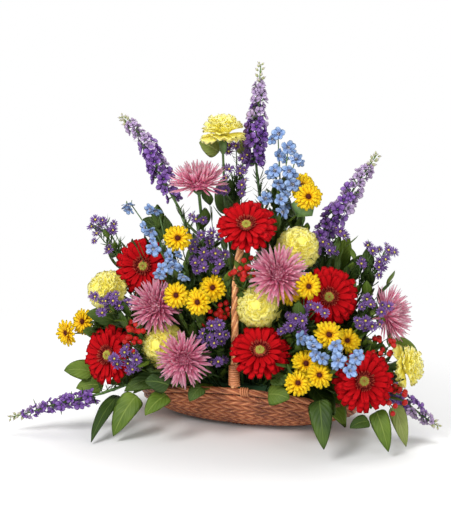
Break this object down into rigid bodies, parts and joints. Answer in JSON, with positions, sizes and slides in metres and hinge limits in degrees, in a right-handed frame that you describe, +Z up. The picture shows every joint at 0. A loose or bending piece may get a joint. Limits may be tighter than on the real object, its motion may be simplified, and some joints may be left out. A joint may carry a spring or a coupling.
{
  "type": "flower basket arrangement",
  "caption": "Oval woven gathering basket with a tall hoop handle, lined and filled with floral foam that holds mixed cut flowers, berries and trailing leaves.",
  "frame": {"origin": "middle of the flat underside of the basket's foot, on the surface it stands on", "axes": "+Z up, +X along the basket's long axis to the right seen from the front, -Y towards the front of the arrangement"},
  "size_m": [0.6604, 0.3193, 0.5741],
  "materials": {
    "willow": "peeled and smoked willow rods, satin",
    "cane": "golden cane, twisted, satin",
    "liner": "thin moulded liner",
    "foam": "open-cell floral foam",
    "gerbera_flower": "soft matt petals",
    "carnation_flower": "ruffled petals",
    "mum_flower": "soft petals",
    "daisy_flower": "satin petals",
    "delphinium_flower": "thin petals",
    "aster_flower": "small petals",
    "hypericum_berry": "glossy berries",
    "larkspur_flower": "thin petals",
    "leaf": "leathery leaf, satin"
  },
  "bodies": {
    "root": {"basket_tray": "willow", "basket_border": "willow", "basket_foot": "willow", "handle_bow": "cane", "handle_wrap_front": "cane", "handle_wrap_back": "cane", "liner_tray": "liner", "floral_foam": "foam", "gerbera_top": "gerbera_flower", "gerbera_upper_left": "gerbera_flower", "gerbera_lower_left": "gerbera_flower", "gerbera_upper_right": "gerbera_flower", "gerbera_centre": "gerbera_flower", "gerbera_lower_right": "gerbera_flower", "carnation_top": "carnation_flower", "carnation_right": "carnation_flower", "carnation_centre": "carnation_flower", "carnation_lower_left": "carnation_flower", "carnation_left": "carnation_flower", "carnation_far_right": "carnation_flower", "mum_top": "mum_flower", "mum_centre": "mum_flower", "mum_left": "mum_flower", "mum_lower_left": "mum_flower", "mum_right": "mum_flower", "daisies_upper_left": "daisy_flower", "daisies_top_right": "daisy_flower", "daisies_left": "daisy_flower", "daisies_right": "daisy_flower", "daisies_lower_right": "daisy_flower", "daisies_front": "daisy_flower", "daisies_far_left": "daisy_flower", "delphinium_top": "delphinium_flower", "delphinium_left": "delphinium_flower", "delphinium_low": "delphinium_flower", "asters_left": "aster_flower", "asters_upper_left": "aster_flower", "asters_top": "aster_flower", "asters_low_left": "aster_flower", "asters_centre": "aster_flower", "asters_right": "aster_flower", "asters_far_right": "aster_flower", "asters_upper_right": "aster_flower", "hypericum_handle": "hypericum_berry", "hypericum_left": "hypericum_berry", "hypericum_centre": "hypericum_berry", "hypericum_right": "hypericum_berry", "larkspur_top": "larkspur_flower", "larkspur_left": "larkspur_flower", "larkspur_right": "larkspur_flower", "larkspur_low_left": "larkspur_flower", "larkspur_low_right": "larkspur_flower", "leaves_front_left": "leaf", "leaves_far_left": "leaf", "leaves_left": "leaf", "leaves_front_right": "leaf", "leaves_far_right": "leaf", "leaves_top": "leaf", "leaves_right": "leaf", "leaves_back": "leaf"}
  },
  "joints": []
}
